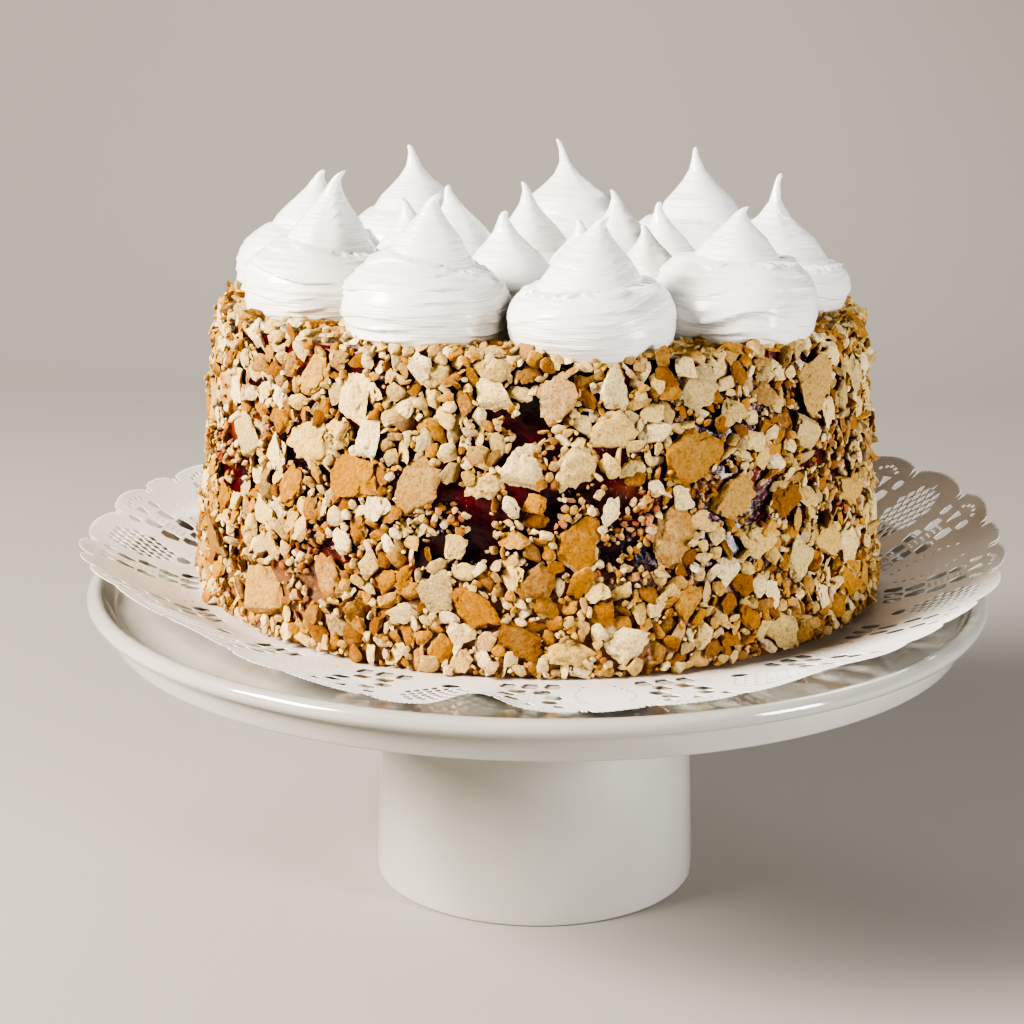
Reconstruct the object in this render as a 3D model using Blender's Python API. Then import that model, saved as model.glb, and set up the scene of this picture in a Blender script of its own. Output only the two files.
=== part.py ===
# A tall round cake coated with crushed meringue and biscuit over berry jam, crowned
# with piped meringue kisses. It stands on a lace paper doily on a white footed stand.
# Metres, +Z up. The origin is the bottom centre of the whole object's box.

import math
import random

import bmesh
import bpy
from mathutils import Matrix, Vector

MM = 0.001

# Gap that touching solids keep
GAP = 0.3 * MM

# Driving dimensions of the stand, one glazed porcelain piece with a hollow pedestal
PLATE_RADIUS = 160 * MM
PLATE_FLOOR = 105 * MM
RIM_CREST = 112.5 * MM
LIP_BEAD = 3 * MM
NECK_RADIUS = 155.3 * MM
NECK_HEIGHT = 104.2 * MM
BODY_RADIUS = 152 * MM
BODY_ROUND = 1.2 * MM
UNDERSIDE = 97 * MM
WALL_FOOT_RADIUS = 147 * MM
FLOOR_EDGE_RADIUS = 143 * MM
PEDESTAL_TOP_RADIUS = 55 * MM
PEDESTAL_FOOT_RADIUS = 58.8 * MM
PEDESTAL_WALL = 6 * MM
FOOT_ROUND = 0.8 * MM
STAND_SIDES = 64

# Driving dimensions of the cake, which stands towards the back of the plate
CAKE_X = 1.5 * MM
CAKE_Y = 20 * MM
CAKE_BOTTOM_RADIUS = 121.5 * MM
CAKE_TOP_RADIUS = 111.5 * MM
CAKE_HEIGHT = 100 * MM
CAKE_SIDES = 48
CHIP_COUNT = 170
CHIP_LONGEST = 22 * MM
CHIP_SHORTEST = 9 * MM
CHIP_SIZE_BIAS = 1.5
CHIP_PROUD = 2.9 * MM
CHIP_SUNK = 2.4 * MM
CHIP_SPACING = 0.84
CHIP_MARGIN = 1.2 * MM
CHIP_LIFT_BACK = 6 * MM
CHIP_SEED = 11

# Largest chips of the front: degrees round from the front, height up the cake's side,
# length, width, all in mm, and degrees of turn
FRONT_CHIPS = (
    (24, 70, 23, 18, 15),
    (20, 44, 21, 15, 80),
    (-48, 16, 24, 19, -8),
    (5, 66, 18, 13, 60),
    (31, 54, 18, 13, 25),
    (-3, 12, 19, 10, -35),
    (-43, 53, 15, 11, 75),
    (13, 10, 17, 14, 0),
    (40, 8, 14, 13, 5),
    (-1, 31, 13, 12, 0),
    (4, 8, 18, 9, 12),
    (42, 50, 14, 12, -20),
    (52, 35, 17, 12, -30),
    (-9, 60, 14, 9, 30),
)

# Driving dimensions of the doily, a thin wavy sheet centred under the cake
DOILY_RADIUS = 168 * MM
DOILY_THICKNESS = 0.4 * MM
DOILY_FLAT_RADIUS = 126 * MM
DOILY_SCALLOPS = 36
DOILY_SCALLOP_DEPTH = 3.5 * MM
DOILY_EDGE_REACH = 166 * MM
DOILY_RAMP_START = 142.5 * MM
DOILY_RAMP_END = 154 * MM
DOILY_RAMP_HEIGHT = 8.6 * MM
# Degrees from the front, height of the paper's edge over the table in mm
DOILY_EDGE = (
    (-180, 127), (-150, 126), (-120, 123.5), (-103, 123.5), (-96, 121), (-89, 120), (-78, 123),
    (-66, 124.5), (-56, 125), (-47, 123), (-40, 122), (-33, 117), (-26, 115), (-17, 111.6),
    (-13, 111.2), (-9.5, 113), (-6.5, 118), (-3.5, 112.5), (2, 110.4), (6, 110.6), (10, 111.7),
    (17, 112.3), (23, 113.4), (31, 117), (40, 117.3), (49, 119.6), (56, 121), (68, 121),
    (80, 123.5), (89, 125), (95, 130), (110, 131.5), (125, 131), (150, 129), (180, 127),
)
DOILY_SECTORS = 60
DOILY_RINGS = (122.5 * MM, 127 * MM, 134 * MM, 145 * MM, 156 * MM)

# Meringue kisses: degrees round from the front, distance from the cake's axis, widest
# radius, height, and the lean of the tip towards +X and +Y, all in mm
OUTER_KISSES = (
    (-26, 87, 27.5, 47.5, 2, -1),
    (9, 90, 27.0, 42, 3, -1),
    (45, 88, 27.5, 43, 1, 0),
    (86, 80, 28.0, 48.5, 2, 1),
    (136, 87, 28.5, 52.5, -4, 0),
    (173, 87, 28.5, 53.5, -6, 0),
    (-145, 87, 28.5, 51.5, -3, 1),
    (-99, 86, 28.0, 46.5, 3, 0),
    (-62, 85, 27.5, 51, 5, 0),
)
INNER_KISSES = (
    (-134, 44, 24, 40, -6, 0),
    (-80, 47, 24, 39, -4, 0),
    (-17, 42, 25, 38, -3, 1),
    (-172, 37, 23, 41, -3, 0),
    (59, 16, 23, 32, -2, 0),
    (137, 41, 24, 39, -3, 0),
    (44, 52, 23, 33.5, -3, 0),
    (87, 43, 21, 38, -4, 0),
)
KISS_SIDES = 12
# Share of the height, and share of the widest radius there: a bulb, a crease where the
# nozzle lifted, and a hollow cone drawn out to a tip
KISS_PROFILE = (
    (0.0, 0.80),
    (0.09, 0.95),
    (0.24, 1.0),
    (0.42, 0.91),
    (0.54, 0.74),
    (0.62, 0.52),
    (0.76, 0.32),
    (0.89, 0.12),
    (1.0, 0.03),
)

# Place of the cake's underside: on the doily, which lies on the plate's floor
DOILY_MIDDLE = PLATE_FLOOR + GAP + DOILY_THICKNESS / 2
CAKE_BOTTOM = DOILY_MIDDLE + DOILY_THICKNESS / 2 + GAP
CAKE_TOP = CAKE_BOTTOM + CAKE_HEIGHT
SIDE_SLOPE = math.atan2(CAKE_BOTTOM_RADIUS - CAKE_TOP_RADIUS, CAKE_HEIGHT)


def clear_scene():
    for item in list(bpy.data.objects):
        bpy.data.objects.remove(item, do_unlink=True)


def make_material(name, colour, roughness, coat=0.0):
    material = bpy.data.materials.new(name)
    material.use_nodes = True
    shader = material.node_tree.nodes["Principled BSDF"]
    shader.inputs["Base Color"].default_value = (*colour, 1.0)
    shader.inputs["Roughness"].default_value = roughness
    shader.inputs["Metallic"].default_value = 0.0
    shader.inputs["Coat Weight"].default_value = coat
    return material


def add_object(name, bm, material, parent=None):
    bmesh.ops.recalc_face_normals(bm, faces=bm.faces)
    mesh = bpy.data.meshes.new(name)
    bm.to_mesh(mesh)
    bm.free()
    mesh.materials.append(material)
    item = bpy.data.objects.new(name, mesh)
    bpy.context.scene.collection.objects.link(item)
    item.parent = parent
    return item


def shade_round(item, sharp_degrees):
    item.data.shade_smooth()
    item.data.set_sharp_from_angle(angle=math.radians(sharp_degrees))


def around_cake(degrees, distance):
    # A point at this distance from the cake's axis, turned from the front towards +X
    angle = math.radians(degrees)
    return Vector((CAKE_X + distance * math.sin(angle), CAKE_Y - distance * math.cos(angle), 0))


def arc(centre_r, centre_z, radius, start, end, steps):
    # Points of a profile on an arc, in degrees from outwards, anticlockwise
    points = []
    for step in range(steps + 1):
        angle = math.radians(start + (end - start) * step / steps)
        points.append((centre_r + radius * math.cos(angle), centre_z + radius * math.sin(angle)))
    return points


def stand_profile():
    bead_r = PLATE_RADIUS - LIP_BEAD
    bead_z = RIM_CREST - LIP_BEAD
    underneath = [
        (0, UNDERSIDE),
        (PEDESTAL_TOP_RADIUS - PEDESTAL_WALL, UNDERSIDE),
        (PEDESTAL_FOOT_RADIUS - PEDESTAL_WALL, 0),
        (PEDESTAL_FOOT_RADIUS - FOOT_ROUND, 0),
        (PEDESTAL_FOOT_RADIUS, FOOT_ROUND),
        (PEDESTAL_TOP_RADIUS, UNDERSIDE),
    ]
    body = [
        (BODY_RADIUS - BODY_ROUND, UNDERSIDE),
        (BODY_RADIUS, UNDERSIDE + BODY_ROUND),
        (NECK_RADIUS, NECK_HEIGHT),
    ]
    lip = arc(bead_r, bead_z, LIP_BEAD, -60, 180, 6)
    top = [
        (WALL_FOOT_RADIUS, PLATE_FLOOR + 0.15 * (RIM_CREST - PLATE_FLOOR)),
        (FLOOR_EDGE_RADIUS, PLATE_FLOOR),
        (0, PLATE_FLOOR),
    ]
    return underneath + body + lip + top


def make_stand(parent):
    bm = bmesh.new()
    verts = [bm.verts.new((r, 0, z)) for r, z in stand_profile()]
    edges = [bm.edges.new(pair) for pair in zip(verts, verts[1:])]
    bmesh.ops.spin(
        bm,
        geom=verts + edges,
        cent=(0, 0, 0),
        axis=(0, 0, 1),
        angle=math.tau,
        steps=STAND_SIDES,
        use_merge=True,
    )
    bmesh.ops.remove_doubles(bm, verts=bm.verts, dist=0.01 * MM)
    porcelain = make_material("white_porcelain", (0.86, 0.86, 0.84), 0.16, 0.5)
    stand = add_object("stand", bm, porcelain, parent)
    shade_round(stand, 40)
    return stand


def edge_height(degrees):
    # Height of the paper's edge over the table, a straight line between the listed places
    for (first, low), (second, high) in zip(DOILY_EDGE, DOILY_EDGE[1:]):
        if first <= degrees <= second:
            return (low + (high - low) * (degrees - first) / (second - first)) * MM
    return DOILY_EDGE[0][1] * MM


def doily_height(x, y):
    # Middle of the sheet: flat under the cake, over the rim, and up to its edge's height
    away = math.hypot(x - CAKE_X, y - CAKE_Y)
    degrees = math.degrees(math.atan2(x - CAKE_X, CAKE_Y - y))
    climb = (math.hypot(x, y) - DOILY_RAMP_START) / (DOILY_RAMP_END - DOILY_RAMP_START)
    climb = min(1.0, max(0.0, climb))
    ramp = DOILY_RAMP_HEIGHT * climb * climb * (3 - 2 * climb)
    free = (away - DOILY_FLAT_RADIUS) / (DOILY_EDGE_REACH - DOILY_FLAT_RADIUS)
    free = min(1.1, max(0.0, free))
    rise = (edge_height(degrees) - DOILY_MIDDLE) * free ** 1.25
    higher = (ramp + rise + math.hypot(ramp - rise, 1.0 * MM)) / 2
    return DOILY_MIDDLE + higher - 0.5 * MM * (1 - free)


def doily_ring(bm, radius, count, scallop=0.0):
    ring = []
    for index in range(count):
        degrees = 360 * index / count
        wave = abs(math.sin(math.radians(degrees) * DOILY_SCALLOPS / 2))
        point = around_cake(degrees, radius - scallop * (1 - wave))
        ring.append(bm.verts.new((point.x, point.y, doily_height(point.x, point.y))))
    return ring


def make_doily(parent):
    bm = bmesh.new()
    centre = bm.verts.new((CAKE_X, CAKE_Y, DOILY_MIDDLE))
    rings = [doily_ring(bm, radius, DOILY_SECTORS) for radius in DOILY_RINGS]
    fine = 2 * DOILY_SECTORS
    edge = doily_ring(bm, DOILY_RADIUS, fine, DOILY_SCALLOP_DEPTH)
    for index in range(DOILY_SECTORS):
        after = (index + 1) % DOILY_SECTORS
        bm.faces.new((centre, rings[0][index], rings[0][after]))
        for inner, outer in zip(rings, rings[1:]):
            bm.faces.new((inner[index], outer[index], outer[after]))
            bm.faces.new((inner[index], outer[after], inner[after]))
        first, middle, last = (edge[(2 * index + step) % fine] for step in range(3))
        bm.faces.new((rings[-1][index], first, middle))
        bm.faces.new((rings[-1][index], middle, rings[-1][after]))
        bm.faces.new((rings[-1][after], middle, last))
    paper = make_material("white_lace_paper", (0.88, 0.87, 0.85), 0.75)
    doily = add_object("doily", bm, paper, parent)
    thickness = doily.modifiers.new("thickness", "SOLIDIFY")
    thickness.thickness = DOILY_THICKNESS
    thickness.offset = 0.0
    shade_round(doily, 50)
    return doily


def make_chip(name, degrees, height, length, width, turn, rng, collection):
    # A flat angular flake: a ring sunk in the cake's side and a smaller one proud of it
    corners = rng.choice((5, 6, 6))
    proud = CHIP_PROUD * rng.uniform(0.75, 1.1)
    bm = bmesh.new()
    base = []
    top = []
    for index in range(corners):
        angle = math.tau * (index + rng.uniform(-0.22, 0.22)) / corners
        reach = rng.uniform(0.86, 1.08)
        x = length / 2 * reach * math.cos(angle)
        y = width / 2 * reach * math.sin(angle)
        narrow = rng.uniform(0.68, 0.82)
        base.append(bm.verts.new((x, y, -CHIP_SUNK)))
        top.append(bm.verts.new((x * narrow, y * narrow, proud * rng.uniform(0.85, 1.0))))
    bm.faces.new(base)
    bm.faces.new(top)
    for index in range(corners):
        after = (index + 1) % corners
        bm.faces.new((base[index], base[after], top[after], top[index]))
    bmesh.ops.recalc_face_normals(bm, faces=bm.faces)
    mesh = bpy.data.meshes.new(name)
    bm.to_mesh(mesh)
    bm.free()
    chip = bpy.data.objects.new(name, mesh)
    side = CAKE_BOTTOM_RADIUS - height * math.tan(SIDE_SLOPE)
    place = around_cake(degrees, side)
    place.z = CAKE_BOTTOM + height
    # Local z points out of the cake's side, local x runs round it before the turn
    face_out = Matrix.Rotation(math.radians(degrees), 4, "Z") @ Matrix.Rotation(math.pi / 2 - SIDE_SLOPE, 4, "X")
    tilt = Matrix.Rotation(math.radians(rng.uniform(-9, 9)), 4, "X")
    tilt = tilt @ Matrix.Rotation(math.radians(rng.uniform(-9, 9)), 4, "Y")
    spin = Matrix.Rotation(math.radians(turn), 4, "Z")
    chip.matrix_world = Matrix.Translation(place) @ face_out @ tilt @ spin
    collection.objects.link(chip)
    return chip


def chip_places(rng):
    # The front's large chips, then seeded ones, largest first, each clear of the others
    places = [(a, h * MM, l * MM, w * MM, turn) for a, h, l, w, turn in FRONT_CHIPS]
    shares = sorted((rng.random() ** CHIP_SIZE_BIAS for _ in range(CHIP_COUNT)), reverse=True)
    lengths = [CHIP_SHORTEST + (CHIP_LONGEST - CHIP_SHORTEST) * share for share in shares]
    for length in lengths:
        width = length * rng.uniform(0.6, 0.9)
        margin = 0.55 * length + CHIP_MARGIN
        for _ in range(80):
            degrees = rng.uniform(-180, 180)
            over_doily = CHIP_LIFT_BACK * (0.5 - 0.5 * math.cos(math.radians(degrees)))
            height = rng.uniform(margin + over_doily, CAKE_HEIGHT - margin)
            if is_clear(places, degrees, height, length, width):
                places.append((degrees, height, length, width, rng.uniform(-90, 90)))
                break
    return places


def is_clear(places, degrees, height, length, width):
    for other_degrees, other_height, other_length, other_width, _ in places:
        apart = (degrees - other_degrees + 180) % 360 - 180
        across = math.radians(apart) * CAKE_TOP_RADIUS
        needed = CHIP_SPACING * (length + width + other_length + other_width) / 4
        if math.hypot(across, height - other_height) < needed:
            return False
    return True


def make_cake(parent):
    rng = random.Random(CHIP_SEED)
    bm = bmesh.new()
    bmesh.ops.create_cone(
        bm,
        cap_ends=True,
        segments=CAKE_SIDES,
        radius1=CAKE_BOTTOM_RADIUS,
        radius2=CAKE_TOP_RADIUS,
        depth=CAKE_HEIGHT,
        matrix=Matrix.Translation((CAKE_X, CAKE_Y, CAKE_BOTTOM + CAKE_HEIGHT / 2)),
    )
    crumbs = make_material("crushed_meringue_and_biscuit", (0.72, 0.50, 0.26), 0.7)
    cake = add_object("cake", bm, crumbs)
    flakes = bpy.data.collections.new("flakes")
    bpy.context.scene.collection.children.link(flakes)
    for number, place in enumerate(chip_places(rng)):
        make_chip("flake_%03d" % number, *place, rng, flakes)
    join_collection(cake, flakes)
    cake.parent = parent
    return cake


def join_collection(item, collection):
    # One union of the object with all that the collection holds, which is then removed
    union = item.modifiers.new("union", "BOOLEAN")
    union.operation = "UNION"
    union.operand_type = "COLLECTION"
    union.collection = collection
    union.solver = "EXACT"
    bpy.context.view_layer.update()
    evaluated = item.evaluated_get(bpy.context.evaluated_depsgraph_get())
    joined = bpy.data.meshes.new_from_object(evaluated)
    item.modifiers.clear()
    item.data = joined
    for piece in list(collection.objects):
        bpy.data.objects.remove(piece, do_unlink=True)
    bpy.data.collections.remove(collection)


def kiss_specs():
    # Each kiss: centre, widest radius, height and lean, in metres
    specs = []
    for degrees, distance, radius, height, lean_x, lean_y in OUTER_KISSES + INNER_KISSES:
        centre = around_cake(degrees, distance * MM)
        specs.append((centre, radius * MM, height * MM, Vector((lean_x * MM, lean_y * MM, 0))))
    return specs


def reach_towards(direction, centre, radius, others):
    # Radius that a kiss keeps in this direction, pressed flat where neighbours meet it
    reach = radius
    for other_centre, other_radius in others:
        apart = (other_centre - centre).length
        normal = (other_centre - centre) / apart
        facing = direction.dot(normal)
        plane = (apart ** 2 + radius ** 2 - other_radius ** 2) / (2 * apart) - GAP * 2 / 3
        if facing > 0:
            reach = min(reach, plane / facing)
    return reach


def make_kiss(name, spec, others, material, parent):
    centre, radius, height, lean = spec
    bm = bmesh.new()
    rings = []
    for share, wide in KISS_PROFILE:
        drift = lean * share ** 3
        ring = []
        for index in range(KISS_SIDES):
            angle = math.tau * index / KISS_SIDES
            direction = Vector((math.cos(angle), math.sin(angle), 0))
            reach = min(radius * wide, reach_towards(direction, centre, radius, others))
            point = centre + drift + direction * reach
            ring.append(bm.verts.new((point.x, point.y, CAKE_TOP + GAP + height * share)))
        rings.append(ring)
    bm.faces.new(rings[0])
    bm.faces.new(rings[-1])
    for lower, upper in zip(rings, rings[1:]):
        for index in range(KISS_SIDES):
            after = (index + 1) % KISS_SIDES
            bm.faces.new((lower[index], lower[after], upper[after], upper[index]))
    kiss = add_object(name, bm, material, parent)
    shade_round(kiss, 60)
    return kiss


def make_kisses(parent):
    meringue = make_material("glossy_white_meringue", (0.93, 0.92, 0.90), 0.32)
    specs = kiss_specs()
    for number, spec in enumerate(specs):
        others = [(other[0], other[1]) for other in specs if other is not spec]
        make_kiss("kiss_%02d" % (number + 1), spec, others, meringue, parent)


def box_bottom_centre(items):
    # Bottom centre of the box round the objects as their modifiers leave them
    depsgraph = bpy.context.evaluated_depsgraph_get()
    corners = []
    for item in items:
        evaluated = item.evaluated_get(depsgraph)
        mesh = evaluated.to_mesh()
        corners.extend(evaluated.matrix_world @ vert.co for vert in mesh.vertices)
        evaluated.to_mesh_clear()
    lowest = Vector(min(corner[axis] for corner in corners) for axis in range(3))
    highest = Vector(max(corner[axis] for corner in corners) for axis in range(3))
    return Vector(((lowest.x + highest.x) / 2, (lowest.y + highest.y) / 2, lowest.z))


def main():
    clear_scene()
    whole = bpy.data.objects.new("pavlova_on_stand", None)
    bpy.context.scene.collection.objects.link(whole)
    make_stand(whole)
    make_doily(whole)
    make_cake(whole)
    make_kisses(whole)
    bpy.context.view_layer.update()
    pieces = [item for item in bpy.data.objects if item.type == "MESH"]
    whole.location = -box_bottom_centre(pieces)
    bpy.context.view_layer.update()


main()
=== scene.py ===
# Looks of a meringue-topped cake on a lace paper doily and a white footed stand
import math
import random

import bmesh
import bpy
import numpy as np
from mathutils import Matrix, Vector, noise


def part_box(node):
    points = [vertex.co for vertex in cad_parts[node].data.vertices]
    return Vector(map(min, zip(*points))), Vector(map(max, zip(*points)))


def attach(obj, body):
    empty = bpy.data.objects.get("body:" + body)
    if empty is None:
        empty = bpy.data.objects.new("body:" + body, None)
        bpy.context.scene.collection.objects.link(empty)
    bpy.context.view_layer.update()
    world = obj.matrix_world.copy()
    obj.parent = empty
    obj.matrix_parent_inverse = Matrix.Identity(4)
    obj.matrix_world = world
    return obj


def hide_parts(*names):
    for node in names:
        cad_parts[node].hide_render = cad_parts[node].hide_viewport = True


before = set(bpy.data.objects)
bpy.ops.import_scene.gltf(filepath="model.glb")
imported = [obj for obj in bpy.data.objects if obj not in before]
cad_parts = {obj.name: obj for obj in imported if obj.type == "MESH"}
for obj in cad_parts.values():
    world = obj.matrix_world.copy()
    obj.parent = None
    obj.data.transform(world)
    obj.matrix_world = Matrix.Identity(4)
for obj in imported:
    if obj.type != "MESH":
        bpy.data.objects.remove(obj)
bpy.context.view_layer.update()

mm = 0.001

# Where things stand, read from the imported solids
standLow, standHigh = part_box("stand")
plateX = (standLow.x + standHigh.x) / 2
plateY = (standLow.y + standHigh.y) / 2
cakeAside, cakeBack = 1.5, 20  # mm from the plate's axis; the cake stands towards the back
place = {
    "cakeX": plateX + cakeAside * mm,
    "cakeY": plateY + cakeBack * mm,
    "cakeBottom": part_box("cake")[0].z,
}


def srgb(text):  # hex to linear colour
    parts = [int(text[i:i + 2], 16) / 255 for i in (1, 3, 5)]
    return tuple(c / 12.92 if c <= 0.04045 else ((c + 0.055) / 1.055) ** 2.4 for c in parts) + (1.0,)


def addNode(tree, kind, inputs=None, stops=(), **settings):  # one node, its values and links
    made = tree.nodes.new(kind)
    for name, value in settings.items():
        setattr(made, name, value)
    for key, value in (inputs or {}).items():
        if isinstance(value, bpy.types.Node):
            value = value.outputs[0]
        if isinstance(value, bpy.types.NodeSocket):
            tree.links.new(value, made.inputs[key])
        else:
            made.inputs[key].default_value = value
    if stops:  # of a ramp, each (place, hex)
        elements = made.color_ramp.elements
        while len(elements) < len(stops):
            elements.new(0.5)
        for element, (at, colour) in zip(elements, stops):
            element.position = at
            element.color = srgb(colour)
    return made


def startMaterial(name, **values):  # a material with its Principled shader's own values
    material = bpy.data.materials.new(name)
    material.use_nodes = True
    tree = material.node_tree
    shader = tree.nodes["Principled BSDF"]
    for key, value in values.items():
        shader.inputs[key.replace("_", " ")].default_value = value
    coords = addNode(tree, "ShaderNodeTexCoord").outputs["Object"]
    return material, tree, shader, coords


def deselectAll():
    if bpy.context.object and bpy.context.object.mode != "OBJECT":
        bpy.ops.object.mode_set(mode="OBJECT")
    bpy.ops.object.select_all(action="DESELECT")


def pickOnly(piece):
    deselectAll()
    piece.select_set(True)
    bpy.context.view_layer.objects.active = piece


def addPiece(name, mesh):  # a new object that alone is selected
    piece = bpy.data.objects.new(name, mesh)
    bpy.context.scene.collection.objects.link(piece)
    pickOnly(piece)
    return piece


def finishPiece(piece, name, material, body="root"):
    pickOnly(piece)
    bpy.ops.object.transform_apply(location=True, rotation=True, scale=True)
    piece.name = name
    piece.data.name = name
    piece.data.materials.clear()
    piece.data.materials.append(material)
    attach(piece, body)
    return piece


# Camera, floor and lights
view = {
    "away": 715.5 * mm,  # from the stand's axis
    "height": 315.5 * mm,
    "down": 14.213,  # degrees
    "roll": 0.711,
    "lens": 72.1,
    "shift": -0.0258,
}
studio = {
    "floorColour": "#ACA7A0",
    "floorSize": 24,  # metres
    "wallHeight": 4,
    "wallDistance": 1.6,
    "world": 0.035,
    "washReach": 6.0,  # metres from the object, and up
    "washHeight": 5,
    "washSize": 4,
    "washPower": 75,
    "washSpread": 70,  # degrees
    "washTurns": (-18, -66, -114, -162),  # degrees round the object
}


def addCamera():
    data = bpy.data.cameras.new("camera")
    data.sensor_width = 36
    data.lens = view["lens"]
    data.shift_x = view["shift"]
    camera = bpy.data.objects.new("camera", data)
    bpy.context.scene.collection.objects.link(camera)
    camera.location = (plateX, plateY - view["away"], view["height"])
    tilt = Matrix.Rotation(math.radians(90 - view["down"]), 4, "X")
    camera.rotation_euler = (tilt @ Matrix.Rotation(math.radians(view["roll"]), 4, "Z")).to_euler()
    bpy.context.scene.camera = camera


def addFloor():
    deselectAll()
    bpy.ops.mesh.primitive_plane_add(size=studio["floorSize"], location=(0, 0, 0))
    farEdge = studio["floorSize"] / 2 - 0.1
    floor = bpy.context.object
    floor.name = "studioFloor"
    bpy.ops.object.mode_set(mode="EDIT")
    bpy.ops.mesh.select_all(action="DESELECT")
    bpy.ops.object.mode_set(mode="OBJECT")
    for edge in floor.data.edges:
        edge.select = all(floor.data.vertices[v].co.y > farEdge for v in edge.vertices)
    bpy.ops.object.mode_set(mode="EDIT")
    bpy.ops.mesh.extrude_region_move(TRANSFORM_OT_translate={"value": (0, 0, studio["wallHeight"])})
    bpy.ops.object.mode_set(mode="OBJECT")
    for vertex in floor.data.vertices:
        if vertex.co.y > farEdge:
            vertex.co.y = studio["wallDistance"]
    bevel = floor.modifiers.new("sweep", "BEVEL")
    bevel.width = 0.7
    bevel.segments = 16
    bpy.ops.object.modifier_apply(modifier="sweep")
    bpy.ops.object.shade_smooth()
    material, tree, shader, coords = startMaterial("matt backdrop paper", Roughness=0.9)
    shader.inputs["Base Color"].default_value = srgb(studio["floorColour"])
    floor.data.materials.append(material)


def addLight(name, place, aim, size, power, colour="#FFFFFF"):
    data = bpy.data.lights.new(name, "AREA")
    data.shape = "RECTANGLE"
    data.size, data.size_y = size
    data.energy = power
    data.color = srgb(colour)[:3]
    light = bpy.data.objects.new(name, data)
    bpy.context.scene.collection.objects.link(light)
    light.location = place
    light.rotation_euler = (Vector(aim) - Vector(place)).to_track_quat("-Z", "Y").to_euler()
    return light


def addLights():
    middle = (0, 0, 0.17)
    addLight("keySoftbox", (-1.25, -0.58, 0.95), middle, (0.6, 0.6), 56, "#FFF8EF")
    addLight("rightWindow", (1.15, -0.70, 0.34), middle, (0.36, 0.50), 14)
    addLight("backSoftbox", (0.3, 1.2, 1.1), middle, (1.0, 0.6), 6)
    reach, square = studio["washReach"], (studio["washSize"], studio["washSize"])
    for i, turn in enumerate(studio["washTurns"]):  # narrow lights on the far floor alone
        angle = math.radians(turn)
        spot = (reach * math.cos(angle), reach * math.sin(angle))
        above = (*spot, studio["washHeight"])
        wash = addLight("floorWash%d" % i, above, (*spot, 0), square, studio["washPower"])
        wash.data.spread = math.radians(studio["washSpread"])
    world = bpy.data.worlds.new("studio")
    bpy.context.scene.world = world
    world.use_nodes = True
    background = world.node_tree.nodes["Background"]
    background.inputs["Color"].default_value = srgb("#F3F2F0")
    background.inputs["Strength"].default_value = studio["world"]


addCamera()
addFloor()
addLights()
bpy.context.scene.view_settings.look = "AgX - Very High Contrast"
print("camera, floor and lights ready")


# Stand: slip-cast porcelain, glazed all over
stand = {
    "sides": 192,
    "plateRadius": 160,
    "lip": 3.0,
    "crest": 112.5,
    "neck": (155.0, 104.0),
    "body": (152.0, 97.0),
    "underside": 97.0,
    "floor": 105.0,
    "wallFoot": 147.0,
    "pedestalTop": 55.0,
    "pedestalFoot": 58.8,
    "wall": 6.0,
}


def arcPoints(centre, radius, start, end, steps):  # (r, z) points, degrees from outwards
    angles = [math.radians(start + (end - start) * i / steps) for i in range(steps + 1)]
    return [(centre[0] + radius * math.cos(a), centre[1] + radius * math.sin(a)) for a in angles]


def standProfile():
    s = stand
    bead = (s["plateRadius"] - s["lip"], s["crest"] - s["lip"])
    low = s["underside"]
    points = [(0.0, low), (s["pedestalTop"] - s["wall"] - 2, low)]
    points += arcPoints((s["pedestalTop"] - s["wall"] - 2, low - 2), 2, 90, 0, 4)
    points += [(s["pedestalFoot"] - s["wall"] - 0.4, 1.0)]
    points += arcPoints((s["pedestalFoot"] - s["wall"] + 0.6, 1.0), 1, 180, 270, 4)
    points += arcPoints((s["pedestalFoot"] - 1, 1.0), 1, 270, 360, 5)
    points += [(s["pedestalFoot"] - 0.15, 5.0), (s["pedestalTop"] + 0.05, low - 1.3)]
    points += arcPoints((s["pedestalTop"] + 1.2, low - 1.2), 1.2, 180, 90, 4)
    points += [(100.0, low)]
    points += arcPoints((s["body"][0] - 1.3, low + 1.3), 1.3, 270, 355, 6)
    points += arcPoints((s["neck"][0] + 2.2, s["neck"][1] + 0.3), 2.6, 186, 130, 5)
    points += arcPoints(bead, s["lip"], -55, 170, 22)
    points += arcPoints((s["wallFoot"] + 0.5, s["floor"] + 4.6), 4.6, -38, -90, 8)
    points += [(120.0, s["floor"]), (60.0, s["floor"]), (0.0, s["floor"])]
    return points


def makeStand():
    profile = standProfile()
    mesh = bpy.data.meshes.new("standPorcelain")
    edges = [(i, i + 1) for i in range(len(profile) - 1)]
    mesh.from_pydata([(r * mm, 0, z * mm) for r, z in profile], edges, [])
    piece = addPiece("standPorcelain", mesh)
    bpy.ops.object.mode_set(mode="EDIT")
    bpy.ops.mesh.select_all(action="SELECT")
    bpy.ops.mesh.spin(steps=stand["sides"], angle=math.tau, center=(0, 0, 0), axis=(0, 0, 1))
    bpy.ops.mesh.select_all(action="SELECT")
    bpy.ops.mesh.remove_doubles(threshold=0.02 * mm)
    bpy.ops.mesh.normals_make_consistent(inside=False)
    bpy.ops.object.mode_set(mode="OBJECT")
    bpy.ops.object.shade_smooth_by_angle(angle=math.radians(50))
    piece.location = (plateX, plateY, 0)
    finishPiece(piece, "standPorcelain", porcelainGlaze())
    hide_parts("stand")


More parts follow.
